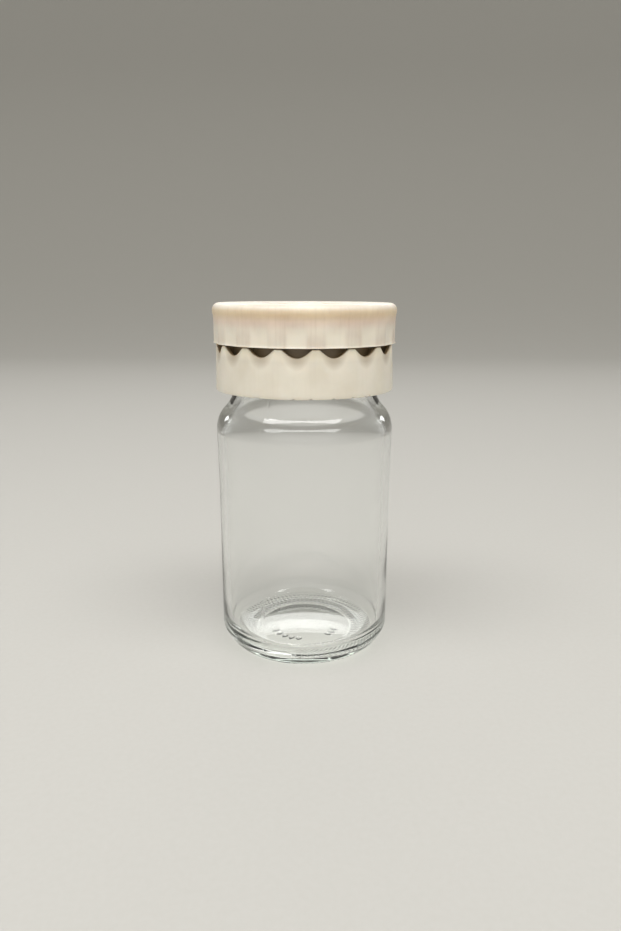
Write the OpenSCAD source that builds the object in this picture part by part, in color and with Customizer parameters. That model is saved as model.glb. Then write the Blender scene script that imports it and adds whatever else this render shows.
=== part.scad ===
// Glass spice jar with a screw-on collar and a dial that turns over it.
// Millimetres, +Z up. The origin is the centre of the jar's base,
// and -Y is the front, where the dial's window stands when it is shut.

/* [Jar] */
// Radius of the straight part of the body
body_r = 25.9; // [25.7:0.1:26.2]
// How far the shoulder swells past the body
bulge = 0.3; // [0.1:0.1:0.5]
// Height at which the shoulder starts to turn in
shoulder_z = 67.7; // [66:0.1:68.5]
// Radius of the shoulder's round
shoulder_round = 9; // [8:0.5:10]
// Angle at which the shoulder changes from round to hollow
shoulder_turn = 44; // [42:1:46]
// Outer radius of the neck
neck_r = 20.4; // [20.2:0.1:20.6]
// Height of the rim above the base
rim_z = 90; // [89.5:0.1:91]
// Thickness of the glass in the wall
wall = 2.4; // [2:0.1:2.8]
// Thickness of the glass at the foot of the floor's dome
floor_t = 3.4; // [3:0.1:5]
// Rise of the dome in the floor
floor_rise = 1.2; // [0.5:0.1:1.6]
// Depth of the hollow under the base
push_up = 2.2; // [1:0.1:3]

/* [Heel] */
// Height at which the heel starts to turn in
heel_z = 6.2; // [5.8:0.1:7]
// Small round at the top of the heel
heel_top_round = 3; // [2:0.5:4]
// Large round at the foot of the heel
heel_foot_round = 6; // [5:0.5:6.5]
// Angle between the two rounds
heel_turn = 32; // [28:1:36]
// Width of the ring that the jar stands on
foot_w = 1.3; // [1:0.1:2]

/* [Seal] */
// Thickness of the liner between the rim and the collar
seal_t = 1; // [0.8:0.1:1.2]

/* [Collar] */
// Radius of the collar at its lower edge
collar_r = 26; // [25.9:0.1:26.2]
// Height of the collar's outer skirt
collar_h = 13; // [12.6:0.1:13]
// How much narrower the skirt is at its ledge
collar_draft = 0.3; // [0.1:0.1:0.4]
// Thickness of the skirts
skirt_t = 1.5; // [1.3:0.1:1.6]
// Inner radius of the skirt that carries the thread
thread_bore_r = 21.5; // [21.3:0.1:21.6]
// Number of finger notches round the ledge
notches = 16; // [12:1:18]
// Width of a notch at the ledge
notch_w = 7.2; // [6:0.1:7.4]
// Depth of a notch below the ledge
notch_d = 2.2; // [1.8:0.1:2.6]
// Depth of the pocket behind a notch, below the ledge
pocket_d = 4.7; // [3.5:0.1:5]
// Angle of the first notch from the front
notch_phase = -4.6; // [-6:0.1:6]

/* [Sifter deck] */
// Outer radius of the raised boss that carries the deck
boss_r = 22.7; // [22.6:0.1:23.2]
// Height of the boss above the ledge
boss_h = 9.3; // [9:0.1:9.6]
// Thickness of the deck
deck_t = 1.6; // [1.4:0.1:2]
// Radius of the way through the collar
throat_r = 18.4; // [18:0.1:18.8]
// Radius of a sifter hole
sift_r = 1.6; // [1:0.1:1.8]
// Running clearance between the pin and its hub, on the radius
pin_gap = 0.06; // [0.02:0.01:0.09]

/* [Dial] */
// Radius of the dial at its lip
dial_r = 26.6; // [26.5:0.1:26.8]
// Thickness of the dial's top
dial_t = 1.9; // [1.6:0.1:2.2]
// Thickness of the dial's skirt
dial_skirt_t = 1.7; // [1.5:0.1:1.8]
// Round at the top edge
dial_round = 2; // [1:0.25:2.5]
// How much the lip swells past the skirt
waist = 0.28; // [0.1:0.02:0.3]
// Gap between the dial and the collar
dial_gap = 0.3; // [0.2:0.05:0.4]
// Depth of a flute at the skirt's lower edge
flute_d = 0.3; // [0.15:0.05:0.35]
// Radius of the hollow of a flute
flute_r = 14; // [10:1:20]
// Inner radius of the window
window_in = 7.5; // [7:0.5:8]
// Outer radius of the window
window_out = 19.5; // [18:0.5:19.5]
// Half angle of the window
window_half = 36; // [30:1:38]
// How far the dial turns each way from shut
dial_turn = 120; // [110:1:125]
// Radius of the snap pin
pin_r = 3; // [2.5:0.1:3.2]

/* [Hidden] */
$fn = 128;
over = 1;
front = -90;

// Heights, each from the one below it
seat_z = rim_z + seal_t;
web_t = 1.5;
ledge_z = seat_z + web_t;
collar_z = ledge_z - collar_h;
deck_z = ledge_z + boss_h;
dial_z = ledge_z + dial_gap;
dial_under_z = deck_z + dial_gap;
top_z = dial_under_z + dial_t;

// Jar
rim_round = 0.9;
swell_z = 51;
mouth_r = neck_r - wall;
inner_r = body_r - wall;
shoulder_r = body_r + bulge;
neck_round = (shoulder_r - neck_r) / (1 - cos(shoulder_turn)) - shoulder_round;
neck_z = shoulder_z + (shoulder_round + neck_round) * sin(shoulder_turn);
corner_round = 6.5;
corner_r = inner_r - corner_round;
corner_z = floor_t + corner_round;
heel_top = [body_r - heel_top_round, heel_z];
heel_run = (heel_z - heel_top_round * sin(heel_turn)
    - heel_foot_round * (1 - sin(heel_turn))) * tan(heel_turn);
foot_out = heel_top[0] + heel_top_round * cos(heel_turn) - heel_run
    - heel_foot_round * cos(heel_turn);
foot_in = foot_out - foot_w;

// Collar
ledge_r = collar_r - collar_draft;
edge_round = 0.6;
channel_out = collar_r - skirt_t;
channel_in = boss_r;
pocket_out = channel_out - collar_draft;
pocket_half = 9; // an angle
roof_z = ledge_z - pocket_d - 1.2;
thread_skirt_z = collar_z + 0.7;
rib_t = 1;
rib_z = collar_z + 3;
notch_pitch = 360 / notches;
boss_t = 1.5;
boss_in = boss_r - boss_t;
hub_r = 5.4;
hub_h = 3.2;
bore_r = pin_r + pin_gap;
stay_h = 3.6;
sift_at = front + dial_turn;
sift_rows = [[8.8, 2], [13, 3], [17.2, 5]];
sift_step = 4.5;
pour_at = front - dial_turn;

// Dial
dial_in = dial_r - dial_skirt_t;
waist_r = dial_r - waist;
lip_z = top_z - dial_round;
lip_run = 2.4;
bead = 0.12;
bead_h = 0.5;
flute_lean = atan(flute_d / (lip_z - lip_run - dial_z));
barb = 0.7;
barb_h = 1.8;
barb_gap = 0.2;
slot_w = 1.1;
pin_core_r = 1.3;

// Stops: a lug on the dial runs between two stops on the boss.
// lug_half and stop_clear are angles.
lug_half = 4;
lug_depth = 1.1;
lug_h = 2.6;
stop_clear = 0.8;
stop_depth = 1.9;
stop_z = ledge_z + 2;
lug_at = front + 180;

// Points along an arc round c, from angle a to angle b.
// from and cut leave off points that a neighbour already has.
function arc(c, r, a, b, n, from = 0, cut = 0) =
    [for (i = [from:n - cut]) c + r * [cos(a + (b - a) * i / n), sin(a + (b - a) * i / n)]];

// The dome of the floor and the hollow under it, both flat at the axis
function dome(r, z, rise, n) =
    [for (i = [0:n]) [r * i / n, z + rise * (1 - pow(i / n, 2))]];

function flipped(points) = [for (i = [len(points) - 1:-1:0]) points[i]];

// Outline of a sector of a ring with round corners, centred on the X axis
function sector_outline(r_in, r_out, half, round) =
    let (
        mid_in = r_in + round,
        mid_out = r_out - round,
        turn_in = half - asin(round / mid_in),
        turn_out = half - asin(round / mid_out)
    )
    concat(
        arc([0, 0], r_out, -turn_out, turn_out, 16),
        arc(mid_out * [cos(turn_out), sin(turn_out)], round, turn_out, half + 90, 6, 1),
        arc(mid_in * [cos(turn_in), sin(turn_in)], round, half + 90, 180 + turn_in, 6),
        arc([0, 0], r_in, turn_in, -turn_in, 8, 1),
        arc(mid_in * [cos(turn_in), -sin(turn_in)], round, 180 - turn_in, 270 - half, 6, 1),
        arc(mid_out * [cos(turn_out), -sin(turn_out)], round, 270 - half, 360 - turn_out, 6, 0, 1)
    );

// A cutter of that outline, turned to angle at
module sector(r_in, r_out, half, at, round, h) {
    rotate(at) linear_extrude(h) polygon(sector_outline(r_in, r_out, half, round));
}

// Outside of the glass, from the hollow under the base up to the rim
function jar_outside() = concat(
    dome(foot_in, 0, push_up, 10),
    arc([foot_out, heel_foot_round], heel_foot_round, -90, -heel_turn, 8),
    arc(heel_top, heel_top_round, -heel_turn, 0, 5),
    [[body_r, swell_z]],
    arc([shoulder_r - shoulder_round, shoulder_z], shoulder_round, 0, shoulder_turn, 10),
    arc([neck_r + neck_round, neck_z], neck_round, 180 + shoulder_turn, 180, 8, 1),
    arc([neck_r - rim_round, rim_z - rim_round], rim_round, 0, 90, 5)
);

// Inside of the glass, from the floor up to the mouth
function jar_inside() = concat(
    dome(corner_r, floor_t, floor_rise, 8),
    arc([corner_r, corner_z], corner_round, -90, 0, 8, 1),
    [[inner_r, swell_z]],
    arc([shoulder_r - shoulder_round, shoulder_z], shoulder_round - wall, 0, shoulder_turn, 8),
    arc([neck_r + neck_round, neck_z], neck_round + wall, 180 + shoulder_turn, 180, 10, 1),
    arc([mouth_r + rim_round, rim_z - rim_round], rim_round, 180, 90, 5)
);

module glass_jar() {
    color([0.82, 0.87, 0.84, 0.4])
        rotate_extrude() polygon(concat(jar_outside(), flipped(jar_inside())));
}

module seal_ring() {
    color("whitesmoke")
        translate([0, 0, rim_z])
            difference() {
                cylinder(r = thread_bore_r - 0.3, h = seal_t);
                translate([0, 0, -over]) cylinder(r = throat_r, h = seal_t + 2 * over);
            }
}

// Outer skirt with its ledge, and the thick flange that the pockets are cut in
module skirt_and_ledge() {
    rotate_extrude()
        polygon(concat(
            [[collar_r, collar_z]],
            arc([ledge_r - edge_round, ledge_z - edge_round], edge_round, 0, 90, 4),
            [
                [boss_in, ledge_z],
                [boss_in, roof_z],
                [pocket_out, roof_z],
                [channel_out, collar_z]
            ]
        ));
}

// One notch: a round scoop through the outer wall, and a deep pocket behind it
module notch() {
    scoop_r = (pow(notch_w / 2, 2) + pow(notch_d, 2)) / (2 * notch_d);
    translate([pocket_out - 0.5, 0, ledge_z - notch_d + scoop_r])
        rotate([0, 90, 0]) cylinder(r = scoop_r, h = collar_r - pocket_out + 2);
    rotate(-pocket_half)
        rotate_extrude(angle = 2 * pocket_half)
            translate([boss_r, ledge_z - pocket_d])
                square([pocket_out - boss_r, pocket_d + over]);
}

// Threaded skirt, the seat over the seal, the boss and its deck
module boss_and_seat() {
    rotate_extrude()
        polygon(concat(
            [[0, deck_z]],
            flipped(arc([boss_r - edge_round, deck_z - edge_round], edge_round, 0, 90, 4)),
            [
                [channel_in, thread_skirt_z],
                [thread_bore_r, thread_skirt_z],
                [thread_bore_r, seat_z],
                [throat_r, seat_z],
                [throat_r, ledge_z],
                [boss_in, ledge_z],
                [boss_in, deck_z - deck_t],
                [0, deck_z - deck_t]
            ]
        ));
}

// Ribs that tie the two skirts together, one under each lobe
module skirt_ribs() {
    for (i = [0:notches - 1])
        rotate(front + notch_phase + (i + 0.5) * notch_pitch)
            translate([channel_in - 0.5, -rib_t / 2, rib_z])
                cube([channel_out - channel_in + 0.7, rib_t, roof_z - rib_z + 0.5]);
}

// Stays under the deck, between the shut, sifting and pouring thirds
module deck_stays() {
    for (i = [0:2])
        rotate(front + 60 + i * 120)
            translate([hub_r - 0.5, -rib_t / 2, deck_z - deck_t - stay_h])
                cube([boss_in - hub_r + 1, rib_t, stay_h + 0.5]);
}

// Sifter holes in three arcs over one third of the deck
module sifter_holes() {
    for (row = sift_rows)
        for (i = [0:row[1] - 1])
            rotate(sift_at + (i - (row[1] - 1) / 2) * sift_step / row[0] * 180 / PI)
                translate([row[0], 0, deck_z - deck_t - over])
                    cylinder(r = sift_r, h = deck_t + 2 * over, $fn = 32);
}

// A short block round the boss or inside the dial's skirt
module stop_block(r_in, r_out, at, half, z, h) {
    rotate(at - half)
        rotate_extrude(angle = 2 * half)
            translate([r_in, z]) square([r_out - r_in, h]);
}

module screw_collar() {
    color("ivory")
        difference() {
            union() {
                difference() {
                    skirt_and_ledge();
                    for (i = [0:notches - 1])
                        rotate(front + notch_phase + i * notch_pitch) notch();
                }
                boss_and_seat();
                skirt_ribs();
                deck_stays();
                translate([0, 0, deck_z - hub_h]) cylinder(r = hub_r, h = hub_h - 0.5);
                for (side = [-1, 1])
                    stop_block(
                        boss_r - 0.5,
                        boss_r + stop_depth,
                        lug_at + side * (dial_turn + 2 * lug_half + stop_clear),
                        lug_half,
                        stop_z,
                        lug_h
                    );
            }
            translate([0, 0, deck_z - hub_h - over]) cylinder(r = bore_r, h = hub_h + 2 * over);
            translate([0, 0, deck_z - deck_t - over])
                sector(window_in, window_out - 0.5, window_half, pour_at, 2, deck_t + 2 * over);
            sifter_holes();
        }
}

// Half section of the dial's shell, with a bead at its foot and a lip that swells
function dial_section() = concat(
    [
        [dial_in + 0.4, dial_z],
        [waist_r + bead, dial_z],
        [waist_r + 2 * bead, dial_z + bead],
        [waist_r, dial_z + bead_h]
    ],
    [for (i = [0:6]) [waist_r + waist * (1 - cos(i * 30)) / 2, lip_z - lip_run * (1 - i / 6)]],
    arc([dial_r - dial_round, lip_z], dial_round, 0, 90, 8, 1),
    [
        [0, top_z],
        [0, dial_under_z],
        [dial_in - edge_round, dial_under_z],
        [dial_in, dial_under_z - edge_round],
        [dial_in, dial_z + 0.4]
    ]
);

// One flute: a round hollow that leans out and fades below the lip
module flute() {
    translate([waist_r - flute_d, 0, dial_z])
        rotate([0, flute_lean, 0])
            translate([flute_r, 0, -over])
                cylinder(r = flute_r, h = top_z - dial_z);
}

// Split pin that snaps down through the hub and catches under it
module snap_pin() {
    catch_z = deck_z - hub_h - barb_gap;
    foot_z = catch_z - barb_h;
    difference() {
        union() {
            translate([0, 0, catch_z - 0.4])
                cylinder(r = pin_r, h = dial_under_z - catch_z + 0.9);
            translate([0, 0, catch_z - 0.5])
                cylinder(r = pin_r + barb, h = 0.5);
            translate([0, 0, foot_z])
                cylinder(r1 = pin_r - 0.6, r2 = pin_r + barb, h = barb_h - 0.5);
        }
        translate([0, 0, foot_z - over])
            cylinder(r = pin_core_r, h = dial_under_z - foot_z - 0.5 + over, $fn = 32);
        for (turn = [0, 90])
            rotate(turn)
                translate([-2 * pin_r, -slot_w / 2, foot_z - over])
                    cube([4 * pin_r, slot_w, deck_z - foot_z]);
    }
}

module dial_cap() {
    color("antiquewhite")
        difference() {
            union() {
                difference() {
                    rotate_extrude() polygon(dial_section());
                    for (i = [0:notches - 1])
                        rotate(front + notch_phase + i * notch_pitch) flute();
                }
                snap_pin();
                stop_block(
                    dial_in - lug_depth,
                    dial_in + 0.3,
                    lug_at,
                    lug_half,
                    stop_z,
                    lug_h
                );
            }
            translate([0, 0, dial_under_z - over])
                sector(window_in, window_out, window_half, front, 2.5, dial_t + 2 * over);
        }
}

glass_jar();
seal_ring();
screw_collar();
dial_cap();
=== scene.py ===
import math
import bpy
import bmesh
from mathutils import Matrix, Vector, noise


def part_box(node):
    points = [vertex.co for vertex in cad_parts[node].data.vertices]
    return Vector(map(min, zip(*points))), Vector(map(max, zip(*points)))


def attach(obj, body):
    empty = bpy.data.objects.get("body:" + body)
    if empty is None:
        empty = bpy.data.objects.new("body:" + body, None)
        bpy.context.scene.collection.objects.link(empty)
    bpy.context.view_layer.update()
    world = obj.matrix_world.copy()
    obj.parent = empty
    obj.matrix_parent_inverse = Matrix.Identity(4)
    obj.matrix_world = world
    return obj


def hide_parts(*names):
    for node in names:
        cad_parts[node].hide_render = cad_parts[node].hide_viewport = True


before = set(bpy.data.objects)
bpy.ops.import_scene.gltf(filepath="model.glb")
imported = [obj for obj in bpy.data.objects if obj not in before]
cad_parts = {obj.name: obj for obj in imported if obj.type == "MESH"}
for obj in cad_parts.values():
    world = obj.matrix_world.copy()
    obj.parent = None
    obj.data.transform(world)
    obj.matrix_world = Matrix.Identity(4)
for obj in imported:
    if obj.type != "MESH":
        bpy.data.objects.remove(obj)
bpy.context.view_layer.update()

mm = 0.001  # sizes below are in millimetres, Blender's are in metres
fullTurn = 2 * math.pi


def cadBox(node):
    low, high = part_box(node)
    return {
        "radius": high[0] / mm,
        "bottom": low[2] / mm,
        "top": high[2] / mm,
    }


jarBox, collarBox, dialBox = cadBox("glass_jar"), cadBox("screw_collar"), cadBox("dial_cap")


# Helpers

def hexColour(code):
    # sRGB hex to the linear colour that the shaders take
    channels = [int(code[i:i + 2], 16) / 255 for i in (1, 3, 5)]
    linear = [c / 12.92 if c <= 0.04045 else ((c + 0.055) / 1.055) ** 2.4 for c in channels]
    return (*linear, 1.0)


def addNode(tree, kind, settings=None, links=None):
    # the name or number of an input sets its value, any other name sets a property of the node
    node = tree.nodes.new(kind)
    for key, value in (settings or {}).items():
        if isinstance(key, int) or key in node.inputs:
            node.inputs[key].default_value = value
        else:
            setattr(node, key, value)
    for key, socket in (links or {}).items():
        tree.links.new(socket, node.inputs[key])
    return node


def newMaterial(name):
    material = bpy.data.materials.new(name)
    material.use_nodes = True
    material.node_tree.nodes.clear()
    return material, material.node_tree


def newNodeGroup(name, inputs):
    # inputs is a dictionary of socket names and their types
    group = bpy.data.node_groups.new(name, "GeometryNodeTree")
    for label, kind in inputs.items():
        group.interface.new_socket(label, in_out="INPUT", socket_type=kind)
    group.interface.new_socket("Geometry", in_out="OUTPUT", socket_type="NodeSocketGeometry")
    return group, group.nodes.new("NodeGroupInput").outputs


def plainMesh(piece):
    # the evaluated mesh takes the place of the modifiers
    graph = bpy.context.evaluated_depsgraph_get()
    mesh = bpy.data.meshes.new_from_object(piece.evaluated_get(graph), depsgraph=graph)
    piece.modifiers.clear()
    piece.data = mesh
    return piece


def growNodes(piece, group, values):
    modifier = piece.modifiers.new(group.name, "NODES")
    modifier.node_group = group
    for item in group.interface.items_tree:
        if item.in_out == "INPUT" and item.name in values:
            modifier[item.identifier] = values[item.name]
    return plainMesh(piece)


def newPiece(name, mesh, material):
    piece = bpy.data.objects.new(name, mesh)
    bpy.context.scene.collection.objects.link(piece)
    if material and not mesh.materials:
        mesh.materials.append(material)
    return piece


def softShade(piece, angle):
    piece.data.shade_smooth()
    piece.data.set_sharp_from_angle(angle=math.radians(angle))


def cutAway(piece, cutter):
    modifier = piece.modifiers.new("cut", "BOOLEAN")
    modifier.operation = "DIFFERENCE"
    modifier.solver = "MANIFOLD"
    modifier.object = cutter
    plainMesh(piece)
    bpy.data.objects.remove(cutter)
    return piece


# Profiles are lists of (radius, height) pairs in mm, angles in them are degrees above the level

def arcPoints(centre, radius, start, end, steps, skip=0):
    angles = [math.radians(start + (end - start) * i / steps) for i in range(skip, steps + 1)]
    return [(centre[0] + radius * math.cos(a), centre[1] + radius * math.sin(a)) for a in angles]


def linePoints(start, end, steps):
    # the start is left out, because the stretch before has it
    return [
        (start[0] + (end[0] - start[0]) * i / steps, start[1] + (end[1] - start[1]) * i / steps)
        for i in range(1, steps + 1)
    ]


def around(angle, radius):
    # a point on the level at an angle from the front, which grows towards the right
    return radius * math.sin(angle), -radius * math.cos(angle)


def apart(angle, target, radius):
    # distance in mm round a circle from an angle in degrees
    gap = (angle - math.radians(target) + math.pi) % fullTurn - math.pi
    return gap * radius


def turnedMesh(name, rows, closed):
    # Each row is a count and a function that gives radius and height at an angle.
    # Rows of different counts are stitched. A count of 1 is a pole on the axis, and two poles
    # that follow each other are left apart.
    shape = bmesh.new()
    rings = []
    for count, place in rows:
        ring = []
        for i in range(count):
            angle = fullTurn * i / count
            radius, height = place(angle)
            x, y = around(angle, radius)
            ring.append(shape.verts.new((x * mm, y * mm, height * mm)))
        rings.append(ring)
    pairs = list(zip(rings, rings[1:]))
    if closed:
        pairs.append((rings[-1], rings[0]))
    for first, second in pairs:
        if len(first) == len(second) == 1:
            continue
        few, many = sorted((first, second), key=len)
        step = len(many) // len(few)
        for i in range(len(few)):
            outer = [many[(i * step + k) % len(many)] for k in range(step + 1)]
            if len(few) == 1:
                for a, b in zip(outer, outer[1:]):
                    shape.faces.new((few[0], a, b))
            else:
                shape.faces.new((few[i], *outer, few[(i + 1) % len(few)]))
    bmesh.ops.recalc_face_normals(shape, faces=shape.faces)
    mesh = bpy.data.meshes.new(name)
    shape.to_mesh(mesh)
    shape.free()
    return mesh


def still(point):
    return lambda angle: point


# Materials

def pressedGlass():
    # Soda-lime glass, pressed and fire-polished: clear and sharp, faintly green where it is thick,
    # with slow waves in the surface from the mould.
    look = {
        "tint": "#FFFFFF",
        "depth": "#B9CDBB",
        "density": 16.0,  # per metre
        "ior": 1.52,
        "waveSize": 14,
        "waveHeight": 0.06,
    }
    material, tree = newMaterial("pressedSodaLimeGlass")
    place = addNode(tree, "ShaderNodeTexCoord").outputs["Object"]
    waves = addNode(
        tree,
        "ShaderNodeTexNoise",
        {"Scale": 1 / (look["waveSize"] * mm), "Detail": 1.0, "Roughness": 0.4},
        {"Vector": place},
    )
    bump = addNode(
        tree,
        "ShaderNodeBump",
        {"Strength": 1.0, "Distance": look["waveHeight"] * mm},
        {"Height": waves.outputs["Fac"]},
    )
    glass = addNode(
        tree,
        "ShaderNodeBsdfPrincipled",
        {
            "Base Color": hexColour(look["tint"]),
            "Roughness": 0.0,
            "IOR": look["ior"],
            "Transmission Weight": 1.0,
        },
        {"Normal": bump.outputs["Normal"]},
    )
    # lamps shine through, so that the floor and the inside aren't left in a solid shadow
    clear = addNode(tree, "ShaderNodeBsdfTransparent", {"Color": hexColour(look["tint"])})
    path = addNode(tree, "ShaderNodeLightPath")
    mix = addNode(
        tree,
        "ShaderNodeMixShader",
        {},
        {0: path.outputs["Is Shadow Ray"], 1: glass.outputs[0], 2: clear.outputs[0]},
    )
    # the green of iron in thick glass
    depth = addNode(
        tree,
        "ShaderNodeVolumeAbsorption",
        {"Color": hexColour(look["depth"]), "Density": look["density"]},
    )
    addNode(
        tree,
        "ShaderNodeOutputMaterial",
        {},
        {"Surface": mix.outputs[0], "Volume": depth.outputs[0]},
    )
    return material


def mouldedIvory(name, look):
    # Ivory polypropylene, injection moulded: a satin skin with a faint orange peel, light that
    # sinks in a little, slow drifts of tone from age, and fine rubbed marks from use.
    material, tree = newMaterial(name)
    place = addNode(tree, "ShaderNodeTexCoord").outputs["Object"]
    drift = addNode(
        tree,
        "ShaderNodeTexNoise",
        {"Scale": 1 / (9 * mm), "Detail": 3.0, "Roughness": 0.55},
        {"Vector": place},
    )
    tones = addNode(
        tree,
        "ShaderNodeMapRange",
        {"From Min": 0.36, "From Max": 0.64},
        {"Value": drift.outputs["Fac"]},
    )
    tone = addNode(
        tree,
        "ShaderNodeMix",
        {"data_type": "RGBA", 6: hexColour(look["pale"]), 7: hexColour(look["warm"])},
        {0: tones.outputs["Result"]},
    )
    height = addNode(tree, "ShaderNodeSeparateXYZ", {}, {"Vector": place})
    # painted light and shade over the height, from the stops that each material gives
    ramp = addNode(
        tree,
        "ShaderNodeMapRange",
        {"From Min": look["bandLow"] * mm, "From Max": look["bandHigh"] * mm},
        {"Value": height.outputs["Z"]},
    )
    paintedLightBand = addNode(tree, "ShaderNodeValToRGB", {}, {"Fac": ramp.outputs["Result"]})
    stops = paintedLightBand.color_ramp.elements
    stops[0].position, stops[0].color = look["paintedLightBand"][0][0], hexColour(look["paintedLightBand"][0][1])
    stops[1].position, stops[1].color = look["paintedLightBand"][-1][0], hexColour(look["paintedLightBand"][-1][1])
    for position, code in look["paintedLightBand"][1:-1]:
        stops.new(position).color = hexColour(code)
    colour = addNode(
        tree,
        "ShaderNodeMix",
        {"data_type": "RGBA", "blend_type": "MULTIPLY", 0: 1.0},
        {6: tone.outputs[2], 7: paintedLightBand.outputs["Color"]},
    )
    # fine upright lines, where the part was drawn out of its mould
    drawMap = addNode(tree, "ShaderNodeMapping", {"Scale": (1.0, 1.0, 0.04)}, {"Vector": place})
    drawn = addNode(
        tree,
        "ShaderNodeTexNoise",
        {"Scale": 1 / (0.8 * mm), "Detail": 3.0, "Roughness": 0.6},
        {"Vector": drawMap.outputs["Vector"]},
    )
    lines = addNode(
        tree,
        "ShaderNodeMapRange",
        {"From Min": 0.5, "From Max": 0.72, "To Max": look["draw"]},
        {"Value": drawn.outputs["Fac"]},
    )
    colour = addNode(
        tree,
        "ShaderNodeMix",
        {"data_type": "RGBA", "blend_type": "MULTIPLY", 7: hexColour("#C4B9A8")},
        {0: lines.outputs["Result"], 6: colour.outputs[2]},
    )
    # painted shade, dark brown, in the hidden recesses, inside a radius and below a height
    level = addNode(tree, "ShaderNodeVectorMath", {"operation": "MULTIPLY", 1: (1, 1, 0)}, {0: place})
    radius = addNode(tree, "ShaderNodeVectorMath", {"operation": "LENGTH"}, {0: level.outputs[0]})
    inside = addNode(
        tree,
        "ShaderNodeMapRange",
        {"From Min": look["paintedShadeRadius"] * mm, "From Max": (look["paintedShadeRadius"] + 0.6) * mm,
         "To Min": look["paintedShade"], "To Max": 0.0},
        {"Value": radius.outputs["Value"]},
    )
    beneath = addNode(
        tree,
        "ShaderNodeMapRange",
        {"From Min": look["paintedShadeHeight"] * mm, "From Max": (look["paintedShadeHeight"] + 4) * mm,
         "To Min": 1.0, "To Max": 0.0},
        {"Value": height.outputs["Z"]},
    )
    paintedShade = addNode(
        tree,
        "ShaderNodeMath",
        {"operation": "MULTIPLY"},
        {0: inside.outputs["Result"], 1: beneath.outputs["Result"]},
    )
    colour = addNode(
        tree,
        "ShaderNodeMix",
        {"data_type": "RGBA", 7: hexColour("#785F38")},
        {0: paintedShade.outputs[0], 6: colour.outputs[2]},
    )
    # painted light: paler stripes over the flutes, where they make the skirt thin
    front = addNode(tree, "ShaderNodeMath", {"operation": "MULTIPLY", 1: -1.0}, {0: height.outputs["Y"]})
    angle = addNode(tree, "ShaderNodeMath", {"operation": "ARCTAN2"}, {0: height.outputs["X"], 1: front.outputs[0]})
    wave = addNode(
        tree,
        "ShaderNodeMath",
        {"operation": "MULTIPLY_ADD", 1: 16.0, 2: -16 * math.radians(look["stripeAt"])},
        {0: angle.outputs[0]},
    )
    swing = addNode(tree, "ShaderNodeMath", {"operation": "COSINE"}, {0: wave.outputs[0]})
    stripe = addNode(
        tree,
        "ShaderNodeMapRange",
        {"interpolation_type": "SMOOTHSTEP", "From Min": -0.3, "From Max": 0.35, "To Max": look["stripe"]},
        {"Value": swing.outputs[0]},
    )
    fade = addNode(
        tree,
        "ShaderNodeMapRange",
        {"interpolation_type": "SMOOTHSTEP", "From Min": 95.5 * mm, "From Max": 99.5 * mm, "To Min": 1.0,
         "To Max": 0.0},
        {"Value": height.outputs["Z"]},
    )
    paintedFluteLight = addNode(
        tree,
        "ShaderNodeMath",
        {"operation": "MULTIPLY"},
        {0: stripe.outputs["Result"], 1: fade.outputs["Result"]},
    )
    colour = addNode(
        tree,
        "ShaderNodeMix",
        {"data_type": "RGBA", 7: hexColour("#EAE3D2")},
        {0: paintedFluteLight.outputs[0], 6: colour.outputs[2]},
    )
    # rubbed marks run round the lid, so their pattern is stretched along the level
    rubMap = addNode(
        tree,
        "ShaderNodeMapping",
        {"Scale": (1.0, 1.0, 9.0)},
        {"Vector": place},
    )
    rub = addNode(
        tree,
        "ShaderNodeTexNoise",
        {"Scale": 1 / (3 * mm), "Detail": 4.0, "Roughness": 0.7},
        {"Vector": rubMap.outputs["Vector"]},
    )
    roughness = addNode(
        tree,
        "ShaderNodeMapRange",
        {"From Min": 0.3, "From Max": 0.7, "To Min": look["gloss"] - 0.05, "To Max": look["gloss"] + 0.1},
        {"Value": rub.outputs["Fac"]},
    )
    # orange peel is about 0.3 mm across, drawn at 0.6 mm so that it shows
    peel = addNode(
        tree,
        "ShaderNodeTexNoise",
        {"Scale": 1 / (0.6 * mm), "Detail": 2.0},
        {"Vector": place},
    )
    bump = addNode(
        tree,
        "ShaderNodeBump",
        {"Strength": 0.25, "Distance": 0.02 * mm},
        {"Height": peel.outputs["Fac"]},
    )
    plastic = addNode(
        tree,
        "ShaderNodeBsdfPrincipled",
        {
            "IOR": 1.49,
            "Subsurface Weight": 0.25,
            "Subsurface Radius": (1.0, 0.7, 0.45),
            "Subsurface Scale": 1.2 * mm,
        },
        {
            "Base Color": colour.outputs[2],
            "Roughness": roughness.outputs["Result"],
            "Normal": bump.outputs["Normal"],
        },
    )
    addNode(tree, "ShaderNodeOutputMaterial", {}, {"Surface": plastic.outputs[0]})
    return material


def foamLiner():
    # Foamed polyethylene liner, cut from sheet: white, matt and soft, with fine closed cells.
    look = {"pale": "#F1EFE8", "shade": "#DEDBD0", "cell": 0.4}
    material, tree = newMaterial("foamedPolyethyleneLiner")
    place = addNode(tree, "ShaderNodeTexCoord").outputs["Object"]
    cells = addNode(
        tree,
        "ShaderNodeTexVoronoi",
        {"Scale": 1 / (look["cell"] * mm)},
        {"Vector": place},
    )
    tone = addNode(
        tree,
        "ShaderNodeMix",
        {"data_type": "RGBA", 6: hexColour(look["shade"]), 7: hexColour(look["pale"])},
        {0: cells.outputs["Distance"]},
    )
    bump = addNode(
        tree,
        "ShaderNodeBump",
        {"Strength": 0.5, "Distance": 0.05 * mm},
        {"Height": cells.outputs["Distance"]},
    )
    foam = addNode(
        tree,
        "ShaderNodeBsdfPrincipled",
        {"Roughness": 0.8, "IOR": 1.5},
        {"Base Color": tone.outputs[2], "Normal": bump.outputs["Normal"]},
    )
    addNode(tree, "ShaderNodeOutputMaterial", {}, {"Surface": foam.outputs[0]})
    return material


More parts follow.
